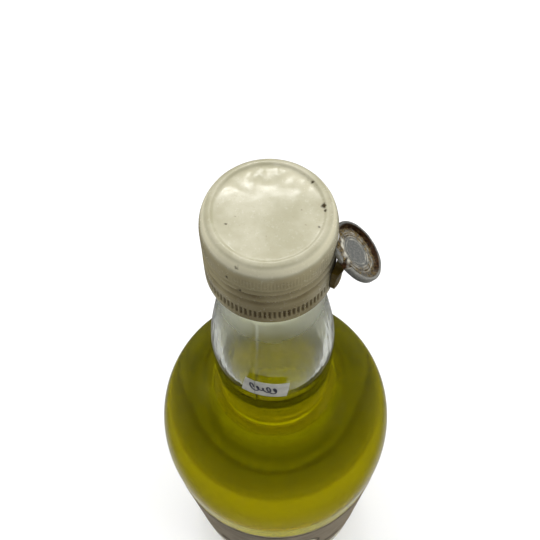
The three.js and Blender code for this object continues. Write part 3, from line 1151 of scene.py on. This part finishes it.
def glass_material(name, tint, sheen, drips):
    """Clear old glass with faint waves, a thin film of dust and finger marks, and a dull upper neck.

    sheen is its share of the usual reflection, hardly any next to the drink.
    drips is how dark the dried drips on it are.
    """
    material, tree = new_tree(name)
    place = object_place(tree)
    height = object_height(tree)
    smudge = mapped(tree, grain(tree, place, 6.0), 0.52, 0.75, 0.0, SMUDGE)
    frost = mapped(tree, height, *FROST_FADE, 0.0, FROST)
    runs = grain(tree, stretched(tree, place, STREAK_SQUEEZE), 2.2, 2.0)
    streaks = product(tree, mapped(tree, height, *STREAK_FADE), runs)
    waves = calculated(tree, "ADD", grain(tree, place, 14.0, 1.0), streaks)
    colour = (*tint, 1)
    if drips:
        dried = mapped(tree, runs, 0.4, 0.65, 0.0, drips)
        shade = [share * part for share, part in zip(DRIP_SHADE, tint)]
        colour = mixed(tree, dried, colour, (*shade, 1))
    principled(tree, {
        "Base Color": colour,
        "Roughness": calculated(tree, "ADD", smudge, frost),
        "IOR": 1.5,
        "Specular Tint": (sheen, sheen, sheen, 1),
        "Transmission Weight": 1.0,
        "Normal": bump(tree, waves, 0.05),
    })
    return material


# The drink's colour, and the share of it that is left at heights in millimetres as painted shade: least in
# the upper shoulder
DRINK_COLOUR = Vector((1.0, 0.925, 0.011))
DRINK_PAINTED_SHADE = [
    (148, 0.98), (153, 0.93), (158, 0.93), (162, 0.98), (167, 0.93), (170, 0.36),
    (174, 0.17), (178, 0.125), (183, 0.087), (186, 0.088), (189, 0.28), (194, 0.36),
    (198, 0.37), (205, 0.38), (211, 0.38), (216, 1.0), (218.8, 1.0), (219.6, 0.3),
]


def drink_material():
    """Clear yellow-green liqueur, coloured by its depth, with painted shade making it darker in the upper
    shoulder and above.
    """
    material, tree = new_tree("drink")
    height = calculated(tree, "DIVIDE", object_height(tree), LEVEL * MM)
    # painted shade by height
    stops = [(z / LEVEL, (*(DRINK_COLOUR * share), 1)) for z, share in DRINK_PAINTED_SHADE]
    output = principled(tree, {
        "Base Color": ramp(tree, height, stops),
        "Roughness": 0.1,
        "IOR": 1.43,
        "Specular Tint": (0.05, 0.05, 0.05, 1),
        "Transmission Weight": 0.92,
    })
    depth = add(tree, "ShaderNodeVolumeAbsorption", {"Color": (0.98, 0.978, 0.0, 1), "Density": 80.0})
    tree.links.new(depth.outputs[0], output.inputs["Volume"])
    return material


def enamel_material():
    """Cream enamel, yellowed in places, with dirt in its hollows, dark chips and fine scuffs, and painted
    shade and light on its side and rounding.
    """
    material, tree = new_tree("cap_enamel")
    place = object_place(tree)
    cloud = mapped(tree, grain(tree, place, 7.0), 0.3, 0.7)
    speck = mapped(tree, grain(tree, place, 0.45, 6.0, 0.7), 0.58, 0.72)
    colour = mixed(tree, cloud, ENAMEL_DULL, ENAMEL_PALE)
    # painted highlight on the upper part of the rounding
    colour = mixed(tree, stored(tree, "rim"), colour, ENAMEL_RIM_HIGHLIGHT)
    # yellowing and painted shade on the side
    colour = mixed(tree, stored(tree, "yellow_and_shade"), colour, ENAMEL_YELLOW_SHADED)
    colour = mixed(tree, product(tree, speck, 0.3), colour, ENAMEL_SPECK)
    # dirt in the hollows, with painted shade on the side
    colour = mixed(tree, stored(tree, "grime_and_shade"), colour, ENAMEL_GRIME_AND_SHADE)
    colour = mixed(tree, stored(tree, "marks"), colour, ENAMEL_CHIP)
    principled(tree, {
        "Base Color": colour,
        "Roughness": mapped(tree, grain(tree, place, 1.2, 8.0, 0.75), 0.35, 0.7, 0.18, 0.3),
        "Specular IOR Level": 0.5,
        "Normal": bump(tree, grain(tree, place, 1.6, 3.0), 0.03),
    })
    return material


def seal_material():
    """Grey pressed metal with painted highlights on its rim, rings and fold, tan stains, dark rust inside
    its rim and painted shade in its tear.
    """
    material, tree = new_tree("seal_metal")
    place = object_place(tree)
    fleck = mapped(tree, grain(tree, place, 0.5, 6.0, 0.7), 0.4, 0.65)
    # rust, and painted shade in the tear
    rust_and_tear_shade = stored(tree, "rust_and_tear_shade")
    colour = mixed(tree, product(tree, fleck, 0.6), SEAL_GREY, SEAL_PALE)
    colour = mixed(tree, stored(tree, "stain"), colour, mixed(tree, fleck, STAIN_DARK, STAIN_TAN))
    # painted highlights
    colour = mixed(tree, stored(tree, "highlight"), colour, SEAL_HIGHLIGHT)
    colour = mixed(tree, rust_and_tear_shade, colour, mixed(tree, fleck, RUST_AND_SHADE_DARK, RUST_AND_SHADE_BROWN))
    principled(tree, {
        "Base Color": colour,
        "Metallic": mapped(tree, rust_and_tear_shade, 0.0, 1.0, 0.5, 0.05),
        "Roughness": mapped(tree, grain(tree, place, 0.8, 6.0), 0.3, 0.7, 0.28, 0.5),
        "Normal": bump(tree, grain(tree, place, 0.5, 4.0), 0.012),
    })
    return material


def strap_material():
    """A metal strip with worn tan lacquer, with painted shade at its front edge and darker at its lower end.
    """
    material, tree = new_tree("strap_lacquer")
    place = object_place(tree)
    patch = mapped(tree, grain(tree, place, 1.6, 5.0, 0.6), 0.35, 0.65)
    lacquer = mixed(tree, patch, LACQUER_DULL, LACQUER_PALE)
    principled(tree, {
        # painted shade at the front edge, and the darker lower end
        "Base Color": mixed(tree, stored(tree, "inner"), lacquer, LACQUER_DARK),
        "Roughness": mapped(tree, patch, 0.0, 1.0, 0.3, 0.55),
        "Normal": bump(tree, grain(tree, place, 0.6, 4.0), 0.06),
    })
    return material


def label_border(tree):
    """1 in the pale border round the label."""
    middle, half = (LABEL_TOP + LABEL_BOTTOM) / 2 * MM, (LABEL_TOP - LABEL_BOTTOM) / 2 * MM
    off = calculated(tree, "ABSOLUTE", calculated(tree, "SUBTRACT", object_height(tree), middle))
    ends = mapped(tree, off, half - BORDER * MM, half - (BORDER - BORDER_EDGE) * MM)
    inner = LABEL_WIDTH / 2 - BORDER
    sides = mapped(tree, stored(tree, "across"), inner, inner + BORDER_EDGE)
    return calculated(tree, "MAXIMUM", ends, sides)


def label_material():
    """Taupe printed paper with worn, clouded ink and paper fibres."""
    material, tree = new_tree("label_paper")
    place = object_place(tree)
    cloud = mapped(tree, grain(tree, place, 9.0, 5.0), 0.3, 0.7)
    fibre = mapped(tree, grain(tree, place, 0.4, 5.0, 0.7), 0.4, 0.7)
    field = mixed(tree, cloud, LABEL_DARK, LABEL_PALE)
    field = mixed(tree, product(tree, fibre, 0.25), field, LABEL_FIBRE)
    paper = mixed(tree, cloud, BORDER_DULL, BORDER_PALE)
    principled(tree, {
        "Base Color": mixed(tree, label_border(tree), field, paper),
        "Roughness": 0.75,
        "Normal": bump(tree, fibre, 0.02),
    })
    return material


def ink_material(name, thin, full):
    """Ink that lies thinner in patches."""
    material, tree = new_tree(name)
    place = object_place(tree)
    patch = mapped(tree, grain(tree, place, 0.8, 6.0, 0.7), 0.35, 0.6)
    principled(tree, {
        "Base Color": mixed(tree, patch, thin, full),
        "Roughness": mapped(tree, patch, 0.0, 1.0, 0.7, 0.55),
        "Normal": bump(tree, patch, 0.01),
    })
    return material


def sticker_material():
    """White paper, greyed all over as painted shade, with a few grey smears."""
    material, tree = new_tree("sticker_paper")
    place = object_place(tree)
    smear = mapped(tree, grain(tree, place, 3.0, 5.0), 0.35, 0.7)
    principled(tree, {
        "Base Color": mixed(tree, smear, STICKER_SHADED, STICKER_SMEAR_SHADED),
        "Roughness": 0.7,
        "Normal": bump(tree, grain(tree, place, 0.3, 5.0, 0.7), 0.02),
    })
    return material


# Stage, light and camera

STAGE_SIZE = 6.0  # metres

# Strengths of the room round the bottle
ROOM_SEEN = 0.6  # to the eye and through the glass
ROOM_LIGHT = 0.16  # on dull surfaces
ROOM_MIRRORED = (0.03, 0.5)  # in reflections, all round and straight below
ROOM_FRONT = 0.15  # share of its reflections that is left towards the front

# Lamps in metres and watts: name, place, target, width, power, and whether it shows in reflections
LAMPS = [
    ("overhead", (0, 0.4, 1.3), (0, 0, 0.2), 1.3, 16.0, False),
    ("left", (-1.0, 0.2, 0.6), (0, 0, 0.28), 0.6, 4.2, False),
    ("right", (0.95, -0.3, 0.7), (0, 0, 0.28), 0.6, 6.0, False),
    ("glint", (-0.05, 0.97, 1.34), (0, 0, 0.3), 0.3, 3.0, True),
    ("spark", (-0.16, -0.46, 1.3), (0, 0, 0.2), 0.1, 0.6, True),
    ("window", (0.36, -0.38, 1.28), (0, 0, 0.2), 0.12, 0.12, True),
]


def make_floor():
    bpy.ops.mesh.primitive_plane_add(size=STAGE_SIZE, location=(0, 0, 0))
    floor = bpy.context.object
    floor.name = "floor"
    material, tree = new_tree("pale_floor")
    principled(tree, {
        "Base Color": (0.6, 0.6, 0.6, 1),
        "Roughness": 0.8,
        "Emission Color": (1, 1, 1, 1),
        "Emission Strength": 0.4,
    })
    floor.data.materials.append(material)
    floor.visible_glossy = False
    floor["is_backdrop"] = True


def make_lamp(name, place, target, width, power, mirrored):
    data = bpy.data.lights.new(name, "AREA")
    data.shape = "DISK"
    data.size = width
    data.energy = power
    lamp = bpy.data.objects.new(name, data)
    lamp.location = place
    lamp.rotation_mode = "QUATERNION"
    lamp.rotation_quaternion = (Vector(target) - Vector(place)).to_track_quat("-Z", "Y")
    lamp.visible_glossy = mirrored
    bpy.context.scene.collection.objects.link(lamp)


def make_room():
    """A room that looks pale to the eye and through the glass, and dim in reflections."""
    world = bpy.data.worlds.new("room")
    bpy.context.scene.world = world
    world.use_nodes = True
    tree = world.node_tree
    tree.nodes.clear()
    ray = add(tree, "ShaderNodeLightPath").outputs
    way = add(tree, "ShaderNodeTexCoord").outputs["Generated"]
    part = add(tree, "ShaderNodeSeparateXYZ", {0: way}).outputs
    below = mapped(tree, part["Z"], -0.8, -1.0, *ROOM_MIRRORED)
    mirrored = product(tree, below, mapped(tree, part["Y"], -0.25, 0.2, ROOM_FRONT, 1.0))
    seen = calculated(tree, "MAXIMUM", ray["Is Camera Ray"], ray["Is Transmission Ray"])
    lit = mapped(tree, ray["Is Glossy Ray"], 0.0, 1.0, ROOM_LIGHT, mirrored)
    strength = mapped(tree, seen, 0.0, 1.0, lit, ROOM_SEEN)
    sky = add(tree, "ShaderNodeBackground", {"Color": (1, 0.99, 0.97, 1), "Strength": strength})
    add(tree, "ShaderNodeOutputWorld", {"Surface": sky.outputs[0]})


def set_bounces():
    """Lets light cross the glass and the drink many times before it is given up."""
    cycles = bpy.context.scene.cycles
    cycles.max_bounces = LIGHT_BOUNCES
    cycles.transmission_bounces = LIGHT_BOUNCES
    cycles.glossy_bounces = LIGHT_BOUNCES


def make_camera():
    data = bpy.data.cameras.new("photo_camera")
    data.lens = CAMERA_LENS
    data.sensor_width = CAMERA_SENSOR
    data.clip_start = CAMERA_NEAR
    camera = bpy.data.objects.new("photo_camera", data)
    across = math.cos(CAMERA_PITCH)
    ahead = Vector((math.sin(CAMERA_YAW) * across, math.cos(CAMERA_YAW) * across, -math.sin(CAMERA_PITCH)))
    right = Vector((math.cos(CAMERA_YAW), -math.sin(CAMERA_YAW), 0))
    up = right.cross(ahead)
    rolled_right = right * math.cos(CAMERA_ROLL) + up * math.sin(CAMERA_ROLL)
    rolled_up = up * math.cos(CAMERA_ROLL) - right * math.sin(CAMERA_ROLL)
    axes = Matrix((rolled_right, rolled_up, -ahead)).transposed()
    camera.matrix_world = Matrix.Translation(CAMERA_PLACE * MM) @ axes.to_4x4()
    bpy.context.scene.collection.objects.link(camera)
    bpy.context.scene.camera = camera


def fit_piece(piece, material, node):
    """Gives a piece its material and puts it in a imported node's place."""
    if material:
        piece.data.materials.append(material)
    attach(piece, "root")
    if node:
        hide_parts(node)


def write_sizes():
    boxes = {"cad": CAD_BOX, "visual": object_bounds()}
    plain = {name: [list(corner) for corner in box] for name, box in boxes.items()}


def main():
    make_camera()
    fit_piece(make_bottle(), None, "glass_bottle")
    fit_piece(make_drink(), drink_material(), "liqueur")
    fit_piece(make_cap(), enamel_material(), "screw_cap")
    fit_piece(make_seal(), seal_material(), "seal_disc")
    fit_piece(make_strap(), strap_material(), "seal_strap")
    fit_piece(make_label(), label_material(), "body_label")
    fit_piece(make_label_field(), ink_material("label_cream", CREAM_THIN, CREAM_FULL), None)
    fit_piece(make_label_print(), ink_material("label_ink", PRINT_THIN, PRINT_FULL), None)
    fit_piece(make_sticker(), sticker_material(), "neck_sticker")
    fit_piece(make_scribble(), ink_material("pen_ink", PEN_THIN, PEN_FULL), None)
    make_floor()
    make_room()
    for lamp in LAMPS:
        make_lamp(*lamp)
    bpy.context.scene.view_settings.view_transform = "Standard"
    set_bounces()
    write_sizes()


main()
